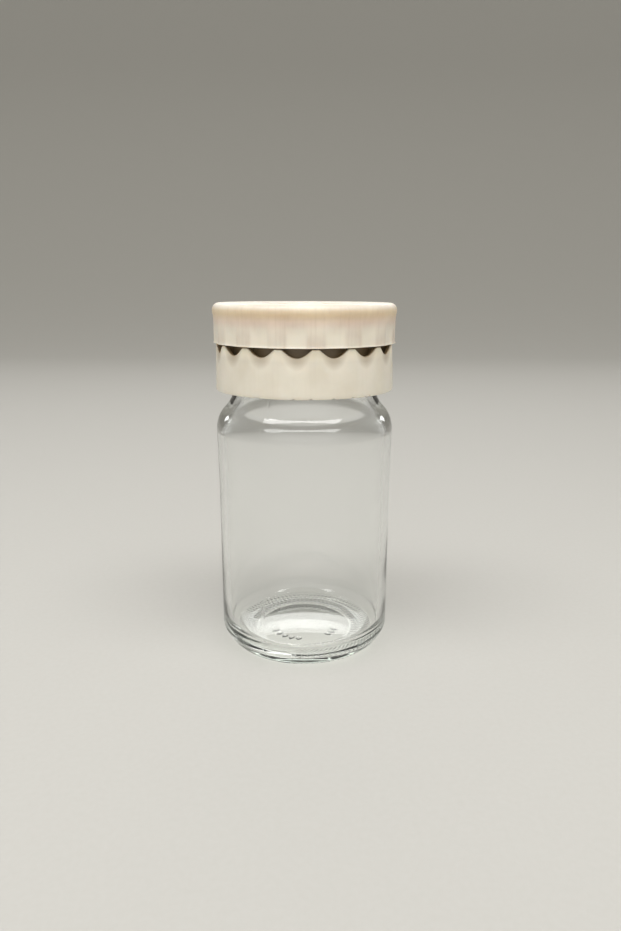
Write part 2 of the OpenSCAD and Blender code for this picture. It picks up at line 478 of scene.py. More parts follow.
def paleFloor():
    # Matt studio card: even and pale, with a trace of fibre.
    look = {"pale": "#B9B7B2", "shade": "#B4B2AC", "far": "#D8D7D4", "high": "#EBEAE6", "fibre": 1.5}
    material, tree = newMaterial("mattStudioCard")
    place = addNode(tree, "ShaderNodeTexCoord").outputs["Object"]
    fibre = addNode(
        tree,
        "ShaderNodeTexNoise",
        {"Scale": 1 / (look["fibre"] * mm), "Detail": 4.0},
        {"Vector": place},
    )
    tone = addNode(
        tree,
        "ShaderNodeMix",
        {"data_type": "RGBA", 6: hexColour(look["shade"]), 7: hexColour(look["pale"])},
        {0: fibre.outputs["Fac"]},
    )
    # painted shade: the card is greyer where it bends up behind the jar
    depth = addNode(tree, "ShaderNodeSeparateXYZ", {}, {"Vector": place})
    far = addNode(
        tree,
        "ShaderNodeMapRange",
        {"interpolation_type": "SMOOTHSTEP", "From Min": 0.35, "From Max": 1.5},
        {"Value": depth.outputs["Y"]},
    )
    graded = addNode(
        tree,
        "ShaderNodeMix",
        {"data_type": "RGBA", "blend_type": "MULTIPLY", 7: hexColour(look["far"])},
        {0: far.outputs["Result"], 6: tone.outputs[2]},
    )
    # and painted light high up: the card is paler there, where the thick base of the jar gathers its light from
    high = addNode(
        tree,
        "ShaderNodeMapRange",
        {"interpolation_type": "SMOOTHSTEP", "From Min": 0.72, "From Max": 0.98},
        {"Value": depth.outputs["Z"]},
    )
    graded = addNode(
        tree,
        "ShaderNodeMix",
        {"data_type": "RGBA", 7: hexColour(look["high"])},
        {0: high.outputs["Result"], 6: graded.outputs[2]},
    )
    card = addNode(
        tree,
        "ShaderNodeBsdfPrincipled",
        {"Roughness": 0.85},
        {"Base Color": graded.outputs[2]},
    )
    addNode(tree, "ShaderNodeOutputMaterial", {}, {"Surface": card.outputs[0]})
    return material


ivoryCollar = mouldedIvory("mouldedIvoryPolypropylene", {
    "pale": "#F2EBDB",
    "warm": "#EBE3D1",
    "gloss": 0.38,
    # painted shade in the recesses: its strength, radius and height
    "paintedShade": 0.9,
    "paintedShadeRadius": 25.1,
    "paintedShadeHeight": 94,
    "draw": 0.04,
    "stripe": 0.0,
    "stripeAt": -4.6,
    "bandLow": 79.5,
    "bandHigh": 92.5,
    # painted light: a slow rise in tone up the collar, lightest at the top, where the lobes sit in the shade of the
    # dial's overhang
    "paintedLightBand": [(0.0, "#EBEBEB"), (0.74, "#EBEAE9"), (0.9, "#FCFAF6"), (1.0, "#FFFFFC")],
})
ivoryDial = mouldedIvory("agedIvoryPolypropylene", {
    "pale": "#E1D9CA",
    "warm": "#D8CDBE",
    "gloss": 0.34,
    # painted shade in the recesses: its strength, radius and height
    "paintedShade": 0.5,
    "paintedShadeRadius": 24.9,
    "paintedShadeHeight": 94,
    "draw": 0.13,
    # painted light over the flutes: its strength and the angle of the first stripe
    "stripe": 0.6,
    "stripeAt": -4.6,
    "bandLow": 92.8,
    "bandHigh": 104.0,
    # a little darker low on the skirt, and painted shade in warm tones in the hollow under the lip
    "paintedLightBand": [(0.0, "#F9F7F5"), (0.25, "#F9F7F5"), (0.42, "#FEFCFA"), (0.56, "#FBF0EC"), (0.66, "#FCEFE2"),
             (0.74, "#FFF0D8"), (0.84, "#FFF4E2"), (0.92, "#FFFFFF"), (1.0, "#FFFFFF")],
})
clearGlass = pressedGlass()
softLiner = foamLiner()
floorCard = paleFloor()
print("materials made")


# Glass jar

jar = {
    "neckRadius": 20.4,
    "wall": 2.4,
    "bulge": 0.3,
    "swellHeight": 51,
    "shoulderHeight": 67.7,
    "shoulderRound": 9,
    "shoulderTurn": 44,
    "shoulderSink": 1.2,  # how much lower the shoulder lies on the inside
    "rimRound": 0.9,
    "heelHeight": 6.2,
    "heelTopRound": 3,
    "heelFootRound": 6,
    "heelTurn": 32,
    "footWidth": 1.3,
    "pushUp": 2.2,
    "floorHeight": 3.4,
    "floorRise": 1.2,
    "cornerRound": 6.5,
    "wallWander": 0.16,   # how far the inside strays from round
    "seamAt": (-27, 153),  # mould seams, in degrees from the front
    "seamHeight": 0.07,
    "seamHalf": 0.35,
    "codeDots": ((-62, -49, -36, -23, -10), (46, 56, 66)),  # raised dots under the base
    "codeRadius": 9.8,
    "codeSize": 0.9,
    "codeHeight": 0.3,
}
thread = {"pitch": 4.23, "turns": 1.6, "start": 81.8, "height": 0.68, "half": 1.0}
stipple = {
    "Dot Step": 1.5 * mm,
    "Row Step": 1.4 * mm,
    "Inner Edge": 15.0 * mm,
    "Outer Edge": 23.8 * mm,
    "Edge Fade": 0.9 * mm,
    "Depth": 0.5 * mm,
    "Dot Radius": 0.66 * mm,
    "Smooth From": math.radians(-76),
    "Smooth To": math.radians(-13),
}


def threadSwell(angle, height):
    # how far a right-handed thread stands out of the neck here
    swell = 0
    for lap in range(3):
        turn = angle / fullTurn + lap
        if 0 <= turn <= thread["turns"]:
            off = abs(height - thread["start"] - thread["pitch"] * turn) / thread["half"]
            ends = min(1, turn / 0.08, (thread["turns"] - turn) / 0.08)
            if off < 1:
                swell = max(swell, thread["height"] * ends * (1 - off * off) ** 0.6)
    return swell


def seamSwell(angle, radius):
    off = min(abs(apart(angle, seam, radius)) for seam in jar["seamAt"]) / jar["seamHalf"]
    return jar["seamHeight"] * max(0, 1 - off)


def outerPlace(point):
    def place(angle):
        radius, height = point
        return radius + seamSwell(angle, radius) * min(1, height / 4), height
    return place


def neckPlace(point):
    def place(angle):
        radius, height = point
        return radius + max(threadSwell(angle, height), seamSwell(angle, radius)), height
    return place


def innerPlace(point):
    def place(angle):
        radius, height = point
        x, y = around(angle, 1)
        stray = noise.noise(Vector((x * 1.1, y * 1.1, height / 26))) * jar["wallWander"]
        calm = max(0, min(1, (66 - height) / 8))  # the shoulder is even
        return radius + stray * calm * min(1, radius / 15), height
    return place


def underPlace(point):
    def place(angle):
        radius, height = point
        lift = 0
        for group in jar["codeDots"]:
            for at in group:
                off = math.hypot(apart(angle, at, radius), radius - jar["codeRadius"]) / jar["codeSize"]
                if off < 1:
                    lift = jar["codeHeight"] * math.sqrt(1 - off * off)
        return radius, max(0, height - lift)
    return place


def jarRows():
    rim, shoulder = jarBox["top"], jarBox["radius"]
    body = shoulder - jar["bulge"]
    inner = body - jar["wall"]
    shoulderTurn, heelTurn = math.radians(jar["shoulderTurn"]), math.radians(jar["heelTurn"])
    neckRound = (shoulder - jar["neckRadius"]) / (1 - math.cos(shoulderTurn)) - jar["shoulderRound"]
    neckHeight = jar["shoulderHeight"] + (jar["shoulderRound"] + neckRound) * math.sin(shoulderTurn)
    heelRun = math.tan(heelTurn) * (
        jar["heelHeight"]
        - jar["heelTopRound"] * math.sin(heelTurn)
        - jar["heelFootRound"] * (1 - math.sin(heelTurn))
    )
    heelSet = jar["heelTopRound"] - jar["heelFootRound"]
    footOut = body - jar["heelTopRound"] + heelSet * math.cos(heelTurn) - heelRun
    footIn = footOut - jar["footWidth"]
    shoulderCentre = (shoulder - jar["shoulderRound"], jar["shoulderHeight"])
    neckCentre = (jar["neckRadius"] + neckRound, neckHeight)
    corner = inner - jar["cornerRound"]
    few, some, many = 144, 288, 576
    finest = 864

    def dome(edge, base, rise, start, end, steps):
        # a shallow dome, flat on the axis
        return [
            (r, base + rise * (1 - (r / edge) ** 2))
            for r in (start + (end - start) * i / steps for i in range(1, steps + 1))
        ]

    rows = [(1, still((0, jar["pushUp"])))]
    under = dome(footIn, 0, jar["pushUp"], 0, 7.5, 5) + dome(footIn, 0, jar["pushUp"], 7.5, 10.8, 13)
    rows += [(some, underPlace(p)) for p in under + dome(footIn, 0, jar["pushUp"], 10.8, 15, 4)]
    foot = dome(footIn, 0, jar["pushUp"], 15, footIn, 14) + linePoints((footIn, 0), (footOut, 0), 6)
    foot += arcPoints((footOut, jar["heelFootRound"]), jar["heelFootRound"], -90, -43, 20, 1)
    rows += [(finest, still(p)) for p in foot]
    heel = arcPoints((footOut, jar["heelFootRound"]), jar["heelFootRound"], -43, -jar["heelTurn"], 3, 1)
    rows.append((some, outerPlace(heel[0])))
    heel += arcPoints(
        (body - jar["heelTopRound"], jar["heelHeight"]), jar["heelTopRound"], -jar["heelTurn"], 0, 6)
    rows += [(many, outerPlace(p)) for p in heel[1:]]
    wall = linePoints((body, jar["heelHeight"]), (body, jar["swellHeight"]), 5)
    wall += linePoints((body, jar["swellHeight"]), (shoulder, jar["shoulderHeight"]), 3)
    wall += arcPoints(shoulderCentre, jar["shoulderRound"], 0, jar["shoulderTurn"], 10, 1)
    wall += arcPoints(neckCentre, neckRound, 180 + jar["shoulderTurn"], 195, 6, 1)
    rows += [(many, outerPlace(p)) for p in wall]
    neck = arcPoints(neckCentre, neckRound, 195, 180, 6, 1)
    neck += linePoints((jar["neckRadius"], neckHeight), (jar["neckRadius"], rim - jar["rimRound"]), 30)
    rows += [(some, neckPlace(p)) for p in neck]
    mouth = jar["neckRadius"] - jar["wall"]
    rimOuter = (jar["neckRadius"] - jar["rimRound"], rim - jar["rimRound"])
    rimInner = (mouth + jar["rimRound"], rim - jar["rimRound"])
    edge = arcPoints(rimOuter, jar["rimRound"], 0, 90, 6, 1) + arcPoints(rimInner, jar["rimRound"], 90, 180, 6)
    rows += [(some, still(p)) for p in edge]
    sink = jar["shoulderSink"]
    neckInner = (neckCentre[0], neckHeight - sink)
    shoulderInner = (shoulderCentre[0], jar["shoulderHeight"] - sink)
    inside = linePoints((mouth, rimInner[1]), (mouth, neckInner[1]), 3)
    inside += arcPoints(neckInner, neckRound + jar["wall"], 180, 180 + jar["shoulderTurn"], 7, 1)
    inside += arcPoints(shoulderInner, jar["shoulderRound"] - jar["wall"], jar["shoulderTurn"], 0, 9, 1)
    inside += linePoints((shoulder - jar["wall"], shoulderInner[1]), (inner, jar["swellHeight"]), 4)
    inside += linePoints((inner, jar["swellHeight"]), (inner, jar["floorHeight"] + jar["cornerRound"]), 7)
    inside += arcPoints((corner, jar["floorHeight"] + jar["cornerRound"]), jar["cornerRound"], 0, -90, 9, 1)
    rows += [(many, innerPlace(p)) for p in inside]
    floor = dome(corner, jar["floorHeight"], jar["floorRise"], corner, 0, 8)[:-1]
    rows += [(few, still(p)) for p in floor]
    rows.append((1, still((0, jar["floorHeight"] + jar["floorRise"]))))
    return rows


def stippleNodes():
    # Pushes the glass in between rows of small dots on the ring that the jar stands on,
    # apart from a stretch that the mould left smooth.
    group, given = newNodeGroup("heelStipple", {
        "Geometry": "NodeSocketGeometry",
        "Dot Step": "NodeSocketFloat",
        "Row Step": "NodeSocketFloat",
        "Inner Edge": "NodeSocketFloat",
        "Outer Edge": "NodeSocketFloat",
        "Depth": "NodeSocketFloat",
        "Dot Radius": "NodeSocketFloat",
        "Edge Fade": "NodeSocketFloat",
        "Smooth From": "NodeSocketFloat",
        "Smooth To": "NodeSocketFloat",
        "Material": "NodeSocketMaterial",
    })
    sums = "ShaderNodeMath"
    position = addNode(group, "GeometryNodeInputPosition").outputs[0]
    axes = addNode(group, "ShaderNodeSeparateXYZ", {}, {0: position}).outputs
    level = addNode(group, "ShaderNodeVectorMath", {"operation": "MULTIPLY", 1: (1, 1, 0)}, {0: position})
    radius = addNode(group, "ShaderNodeVectorMath", {"operation": "LENGTH"}, {0: level.outputs[0]}).outputs[1]
    front = addNode(group, sums, {"operation": "MULTIPLY", 1: -1.0}, {0: axes[1]}).outputs[0]
    angle = addNode(group, sums, {"operation": "ARCTAN2"}, {0: axes[0], 1: front}).outputs[0]
    # which row this is, and how far from the row's middle
    inward = addNode(group, sums, {"operation": "SUBTRACT"}, {0: radius, 1: given["Inner Edge"]}).outputs[0]
    steps = addNode(group, sums, {"operation": "DIVIDE"}, {0: inward, 1: given["Row Step"]}).outputs[0]
    row = addNode(group, sums, {"operation": "FLOOR"}, {0: steps}).outputs[0]
    rowPart = addNode(group, sums, {"operation": "SUBTRACT"}, {0: steps, 1: row}).outputs[0]
    rowHalf = addNode(group, sums, {"operation": "SUBTRACT", 1: 0.5}, {0: rowPart}).outputs[0]
    across = addNode(group, sums, {"operation": "MULTIPLY"}, {0: rowHalf, 1: given["Row Step"]}).outputs[0]
    # whole dots round the row, and every other row is shifted by half a dot
    odd = addNode(group, sums, {"operation": "FLOORED_MODULO", 1: 2.0}, {0: row}).outputs[0]
    shift = addNode(group, sums, {"operation": "MULTIPLY", 1: 0.5}, {0: odd}).outputs[0]
    middle = addNode(group, sums, {"operation": "ADD", 1: 0.5}, {0: row}).outputs[0]
    rowRadius = addNode(
        group, sums, {"operation": "MULTIPLY_ADD"}, {0: middle, 1: given["Row Step"], 2: given["Inner Edge"]})
    girth = addNode(group, sums, {"operation": "MULTIPLY", 1: fullTurn}, {0: rowRadius.outputs[0]}).outputs[0]
    fitting = addNode(group, sums, {"operation": "DIVIDE"}, {0: girth, 1: given["Dot Step"]}).outputs[0]
    count = addNode(group, sums, {"operation": "ROUND"}, {0: fitting}).outputs[0]
    turn = addNode(group, sums, {"operation": "DIVIDE", 1: fullTurn}, {0: angle}).outputs[0]
    dots = addNode(group, sums, {"operation": "MULTIPLY_ADD"}, {0: turn, 1: count, 2: shift}).outputs[0]
    dotPart = addNode(group, sums, {"operation": "FLOORED_MODULO", 1: 1.0}, {0: dots}).outputs[0]
    dotHalf = addNode(group, sums, {"operation": "SUBTRACT", 1: 0.5}, {0: dotPart}).outputs[0]
    pitch = addNode(group, sums, {"operation": "DIVIDE"}, {0: girth, 1: count}).outputs[0]
    along = addNode(group, sums, {"operation": "MULTIPLY"}, {0: dotHalf, 1: pitch}).outputs[0]
    offset = addNode(group, "ShaderNodeCombineXYZ", {}, {0: across, 1: along}).outputs[0]
    reach = addNode(group, "ShaderNodeVectorMath", {"operation": "LENGTH"}, {0: offset}).outputs[1]
    valley = addNode(
        group,
        "ShaderNodeMapRange",
        {"interpolation_type": "SMOOTHSTEP", "From Min": 0.0, "To Min": 0.0},
        {"Value": reach, "From Max": given["Dot Radius"], "To Max": given["Depth"]},
    ).outputs[0]
    # only the underside between the two edges, away from the smooth stretch
    normal = addNode(group, "GeometryNodeInputNormal").outputs[0]
    facing = addNode(group, "ShaderNodeSeparateXYZ", {}, {0: normal}).outputs[2]
    down = addNode(group, sums, {"operation": "LESS_THAN", 1: -0.3}, {0: facing}).outputs[0]
    innerGap = addNode(group, sums, {"operation": "SUBTRACT"}, {0: radius, 1: given["Inner Edge"]}).outputs[0]
    past = addNode(
        group, "ShaderNodeMapRange", {}, {"Value": innerGap, "From Max": given["Edge Fade"]}).outputs[0]
    outerGap = addNode(group, sums, {"operation": "SUBTRACT"}, {0: given["Outer Edge"], 1: radius}).outputs[0]
    short = addNode(
        group, "ShaderNodeMapRange", {}, {"Value": outerGap, "From Max": given["Edge Fade"]}).outputs[0]
    toStart = addNode(group, sums, {"operation": "SUBTRACT"}, {0: given["Smooth From"], 1: angle}).outputs[0]
    before = addNode(group, "ShaderNodeMapRange", {"From Max": 0.2}, {"Value": toStart}).outputs[0]
    toEnd = addNode(group, sums, {"operation": "SUBTRACT"}, {0: angle, 1: given["Smooth To"]}).outputs[0]
    after = addNode(group, "ShaderNodeMapRange", {"From Max": 0.2}, {"Value": toEnd}).outputs[0]
    rough = addNode(group, sums, {"operation": "MAXIMUM"}, {0: before, 1: after}).outputs[0]
    ring = addNode(group, sums, {"operation": "MULTIPLY"}, {0: past, 1: short}).outputs[0]
    where = addNode(group, sums, {"operation": "MULTIPLY"}, {0: ring, 1: rough}).outputs[0]
    # the underside of the shoulder, inside the jar, also faces down but lies high up
    low = addNode(group, sums, {"operation": "LESS_THAN", 1: 4 * mm}, {0: axes[2]}).outputs[0]
    under = addNode(group, sums, {"operation": "MULTIPLY"}, {0: down, 1: low}).outputs[0]
    share = addNode(group, sums, {"operation": "MULTIPLY"}, {0: where, 1: under}).outputs[0]
    rise = addNode(group, sums, {"operation": "MULTIPLY"}, {0: valley, 1: share}).outputs[0]
    push = addNode(group, "ShaderNodeCombineXYZ", {}, {2: rise}).outputs[0]
    moved = addNode(group, "GeometryNodeSetPosition", {}, {"Geometry": given["Geometry"], "Offset": push})
    real = addNode(group, "GeometryNodeRealizeInstances", {}, {0: moved.outputs[0]})
    dressed = addNode(
        group, "GeometryNodeSetMaterial", {}, {"Geometry": real.outputs[0], "Material": given["Material"]})
    addNode(group, "NodeGroupOutput", {}, {0: dressed.outputs[0]})
    return group


glassJar = newPiece("glassJar", turnedMesh("glassJar", jarRows(), False), clearGlass)
growNodes(glassJar, stippleNodes(), {**stipple, "Material": clearGlass})
softShade(glassJar, 60)
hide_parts("glass_jar")
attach(glassJar, "jar")
print("glass jar made,", len(glassJar.data.polygons), "faces")


# Liner between the rim and the collar, as cut from sheet

liner = bpy.data.objects["seal_ring"]
liner.data.materials.clear()
liner.data.materials.append(softLiner)
print("liner dressed")


# Screw collar

collar = {
    "skirt": 1.5,
    "draft": 0.3,
    "threadBore": 21.5,
    "threadRise": 0.7,    # the inner skirt ends this much above the outer one
    "ledgeHeight": 92.5,
    "web": 1.5,
    "throat": 18.4,
    "bossRadius": 22.7,
    "boss": 1.5,
    "deck": 1.6,
    "hubRadius": 5.4,
    "hubHeight": 3.2,
    "bore": 3.06,
    "notches": 16,
    "notchAt": -4.6,      # the first notch, in degrees from the front
    "notchWidth": 7.2,
    "notchDepth": 2.2,
    "pocketDepth": 4.7,
    "pocketHalf": 9,      # degrees
    "pocketFloor": 1.2,
    "notchHalf": 4.2,     # half the width of a notch at its top, with its soft ends
    "notchCurve": 1.25,
    "lobeRound": 0.35,
    "notchRound": 0.45,
    "dish": 0.3,          # how far the wall sinks under a notch
    "dishRun": 4.5,
    "nicks": (42.8, 39, 29.7, 17.2, 3.7, -6.6, -28.6, -30.3),  # worn into the lower lip, in degrees
    "nickHalf": 0.4,
    "nickDepth": 0.3,
}


def notchPlace(angle):
    # depth of the notch at an angle, and 1 where there is a pocket behind it
    pitch = fullTurn / collar["notches"]
    off = abs((angle - math.radians(collar["notchAt"]) + pitch / 2) % pitch - pitch / 2)
    across = min(1, off * collarBox["radius"] / collar["notchHalf"])
    depth = collar["notchDepth"] * (1 - across ** 2) ** collar["notchCurve"]
    return depth, 1 if off < math.radians(collar["pocketHalf"]) else 0


def nickPlace(angle):
    off = min(abs(apart(angle, at, collarBox["radius"])) for at in collar["nicks"]) / collar["nickHalf"]
    return collar["nickDepth"] * max(0, 1 - off ** 2)


def collarSlice(depth, pocket, nick):
    # the outside of the half section at a place round the collar, from the foot to the deck
    bottom, radius, deck = (collarBox[key] for key in ("bottom", "radius", "top"))
    ledge, boss = collar["ledgeHeight"], collar["bossRadius"]
    edge = ledge - depth
    share = depth / collar["notchDepth"]
    rounding = collar["lobeRound"] + (collar["notchRound"] - collar["lobeRound"]) * share
    lip = 0.2
    top = radius - collar["draft"]
    pocketOut = radius - collar["skirt"] - collar["draft"]
    floor = ledge - collar["pocketDepth"] * pocket
    sunk = collar["dish"] * share
    outside = arcPoints((radius - lip, bottom + lip + nick), lip, -90, 0, 3)
    for r, height in linePoints((radius, bottom + lip), (top, edge - rounding), 12):
        near = max(0, 1 - (edge - rounding - height) / collar["dishRun"])
        outside.append((r - sunk * near * near * (3 - 2 * near), max(height, bottom + lip + nick)))
    outside += arcPoints((top - sunk - rounding, edge - rounding), rounding, 0, 90, 6, 1)
    outside += linePoints(outside[-1], (pocketOut + 0.3, edge), 2)
    # a little draft keeps these points apart where the pocket ends and they lie on the ledge
    outside += linePoints((pocketOut + 0.3, edge), (pocketOut + 0.05, edge - 0.3 * pocket), 2)
    outside += linePoints(outside[-1], (pocketOut - 0.05, floor), 3)
    outside += linePoints(outside[-1], (boss + 0.1, floor), 3)
    outside += linePoints(outside[-1], (boss, ledge), 3)
    outside += linePoints((boss, ledge), (boss, deck - 0.6), 4)
    outside += arcPoints((boss - 0.6, deck - 0.6), 0.6, 0, 90, 4, 1)
    return outside


def collarRows():
    bottom, radius, deck = (collarBox[key] for key in ("bottom", "radius", "top"))
    fine, coarse = 768, 192
    angles = [fullTurn * i / fine for i in range(fine)]
    slices = [collarSlice(*notchPlace(angle), nickPlace(angle)) for angle in angles]

    def outsidePlace(row):
        return lambda angle: slices[round(angle / fullTurn * fine)][row]

    rows = [(fine, outsidePlace(row)) for row in range(len(slices[0]))]
    bossIn = collar["bossRadius"] - collar["boss"]
    under = deck - collar["deck"]
    hubFoot = deck - collar["hubHeight"]
    seat = collar["ledgeHeight"] - collar["web"]
    roof = collar["ledgeHeight"] - collar["pocketDepth"] - collar["pocketFloor"]
    innerFoot = bottom + collar["threadRise"]
    threadOut = collar["bossRadius"]
    channelOut = radius - collar["skirt"]
    inside = [
        (18, deck),
        (10, deck),
        (collar["bore"] + 0.3, deck),
        (collar["bore"], deck - 0.3),
        (collar["bore"], hubFoot + 0.3),
        (collar["bore"] + 0.3, hubFoot),
        (collar["hubRadius"] - 0.3, hubFoot),
        (collar["hubRadius"], hubFoot + 0.3),
        (collar["hubRadius"], under - 0.4),
        (collar["hubRadius"] + 0.4, under),
        (14, under),
        (bossIn - 0.5, under),
        (bossIn, under - 0.5),
        (bossIn, collar["ledgeHeight"] + 0.5),
        (bossIn - 0.5, collar["ledgeHeight"]),
        (collar["throat"] + 0.4, collar["ledgeHeight"]),
        (collar["throat"], collar["ledgeHeight"] - 0.4),
        (collar["throat"], seat + 0.3),
        (collar["throat"] + 0.3, seat),
        (collar["threadBore"], seat),
        (collar["threadBore"], innerFoot + 0.4),
        (collar["threadBore"] + 0.4, innerFoot),
        (threadOut - 0.3, innerFoot),
        (threadOut, innerFoot + 0.3),
        (threadOut, roof - 0.4),
        (threadOut + 0.4, roof),
        (channelOut - collar["draft"] - 0.4, roof),
        (channelOut - collar["draft"], roof - 0.4),
        (channelOut, bottom + 0.4),
        (channelOut + 0.3, bottom),
    ]
    return rows + [(coarse, still(p)) for p in inside]


def sectorOutline(inner, outer, half, rounding, centre):
    # a sector of a ring with round corners, in mm, turned to an angle from the front
    midIn, midOut = inner + rounding, outer - rounding
    turnIn = half - math.degrees(math.asin(rounding / midIn))
    turnOut = half - math.degrees(math.asin(rounding / midOut))

    def corner(distance, turn):
        return distance * math.cos(math.radians(turn)), distance * math.sin(math.radians(turn))

    points = arcPoints((0, 0), outer, -turnOut, turnOut, 24)
    points += arcPoints(corner(midOut, turnOut), rounding, turnOut, half + 90, 8, 1)
    points += arcPoints(corner(midIn, turnIn), rounding, half + 90, 180 + turnIn, 8)
    points += arcPoints((0, 0), inner, turnIn, -turnIn, 12, 1)
    points += arcPoints(corner(midIn, -turnIn), rounding, 180 - turnIn, 270 - half, 8, 1)
    points += arcPoints(corner(midOut, -turnOut), rounding, 270 - half, 360 - turnOut, 8)[:-1]
    turned = math.radians(centre - 90)
    return [
        (x * math.cos(turned) - y * math.sin(turned), x * math.sin(turned) + y * math.cos(turned))
        for x, y in points
    ]


def loftedCutter(name, layers):
    # layers are (height, outline) pairs from low to high, in mm
    shape = bmesh.new()
    rings = [[shape.verts.new((x * mm, y * mm, z * mm)) for x, y in outline] for z, outline in layers]
    for low, high in zip(rings, rings[1:]):
        for i in range(len(low)):
            j = (i + 1) % len(low)
            shape.faces.new((low[i], low[j], high[j], high[i]))
    shape.faces.new(rings[0][::-1])
    shape.faces.new(rings[-1])
    bmesh.ops.recalc_face_normals(shape, faces=shape.faces)
    mesh = bpy.data.meshes.new(name)
    shape.to_mesh(mesh)
    shape.free()
    return newPiece(name, mesh, None)


opening = {"inner": 7.5, "outer": 19.0, "half": 36, "corner": 2, "bevel": 0.4, "pourAt": -120}
sifter = {
    "Hole Radius": 1.6 * mm,
    "Step": 4.5 * mm,
    "Deck Top": collarBox["top"] * mm,
    "Deck Thickness": collar["deck"] * mm,
    "Sifter Angle": math.radians(120 - 90),
}
sifterRows = ((8.8, 2), (13.0, 3), (17.2, 5))


def pourLayers():
    deck = sifter["Deck Top"] / mm

    def grown(by):
        return sectorOutline(
            opening["inner"] - by,
            opening["outer"] + by,
            opening["half"] + 1.5 * by,
            opening["corner"] + by,
            opening["pourAt"],
        )

    bevel = opening["bevel"]
    return [
        (deck - collar["deck"] - 1, grown(0)),
        (deck - bevel, grown(0)),
        (deck, grown(bevel)),
        (deck + 1, grown(bevel)),
    ]


def sifterNodes():
    # a short cylinder for each sifter hole, in arcs about the hub
    group, given = newNodeGroup("sifterHoles", {
        "Geometry": "NodeSocketGeometry",
        "Hole Radius": "NodeSocketFloat",
        "Step": "NodeSocketFloat",
        "Deck Top": "NodeSocketFloat",
        "Deck Thickness": "NodeSocketFloat",
        "Sifter Angle": "NodeSocketFloat",
        "Material": "NodeSocketMaterial",
    })
    sums = "ShaderNodeMath"
    depth = addNode(group, sums, {"operation": "MULTIPLY", 1: 2.0}, {0: given["Deck Thickness"]}).outputs[0]
    half = addNode(group, sums, {"operation": "MULTIPLY", 1: 0.5}, {0: given["Deck Thickness"]}).outputs[0]
    middle = addNode(group, sums, {"operation": "SUBTRACT"}, {0: given["Deck Top"], 1: half}).outputs[0]
    drill = addNode(
        group,
        "GeometryNodeMeshCylinder",
        {"Vertices": 28},
        {"Radius": given["Hole Radius"], "Depth": depth},
    )
    joined = addNode(group, "GeometryNodeJoinGeometry")
    for radius, holes in sifterRows:
        turn = addNode(group, sums, {"operation": "DIVIDE", 1: radius * mm}, {0: given["Step"]}).outputs[0]
        number = addNode(group, "GeometryNodeInputIndex").outputs[0]
        centred = addNode(group, sums, {"operation": "SUBTRACT", 1: (holes - 1) / 2}, {0: number}).outputs[0]
        angle = addNode(
            group,
            sums,
            {"operation": "MULTIPLY_ADD"},
            {0: centred, 1: turn, 2: given["Sifter Angle"]},
        ).outputs[0]
        cosine = addNode(group, sums, {"operation": "COSINE"}, {0: angle}).outputs[0]
        sine = addNode(group, sums, {"operation": "SINE"}, {0: angle}).outputs[0]
        x = addNode(group, sums, {"operation": "MULTIPLY", 1: radius * mm}, {0: cosine}).outputs[0]
        y = addNode(group, sums, {"operation": "MULTIPLY", 1: radius * mm}, {0: sine}).outputs[0]
        spot = addNode(group, "ShaderNodeCombineXYZ", {}, {0: x, 1: y, 2: middle}).outputs[0]
        points = addNode(group, "GeometryNodePoints", {"Count": holes}, {"Position": spot})
        drills = addNode(
            group, "GeometryNodeInstanceOnPoints", {}, {"Points": points.outputs[0], "Instance": drill.outputs[0]})
        group.links.new(drills.outputs[0], joined.inputs[0])
    real = addNode(group, "GeometryNodeRealizeInstances", {}, {0: joined.outputs[0]})
    dressed = addNode(
        group, "GeometryNodeSetMaterial", {}, {"Geometry": real.outputs[0], "Material": given["Material"]})
    addNode(group, "NodeGroupOutput", {}, {0: dressed.outputs[0]})
    return group


screwCollar = newPiece("screwCollar", turnedMesh("screwCollar", collarRows(), True), ivoryCollar)
holes = newPiece("sifterHoles", bpy.data.meshes.new("sifterHoles"), None)
growNodes(holes, sifterNodes(), {**sifter, "Material": ivoryCollar})
cutAway(screwCollar, holes)
cutAway(screwCollar, loftedCutter("pourHole", pourLayers()))
softShade(screwCollar, 40)
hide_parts("screw_collar")
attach(screwCollar, "collar")
print("screw collar made,", len(screwCollar.data.polygons), "faces")

collarThread = {
    "Pitch": thread["pitch"] * mm,
    "Turns": 1.6,
    "Bead Radius": 1.0 * mm,
    "Path Radius": (collar["threadBore"] + 0.3) * mm,
    "Start Height": (thread["start"] - thread["pitch"] / 2) * mm,
}


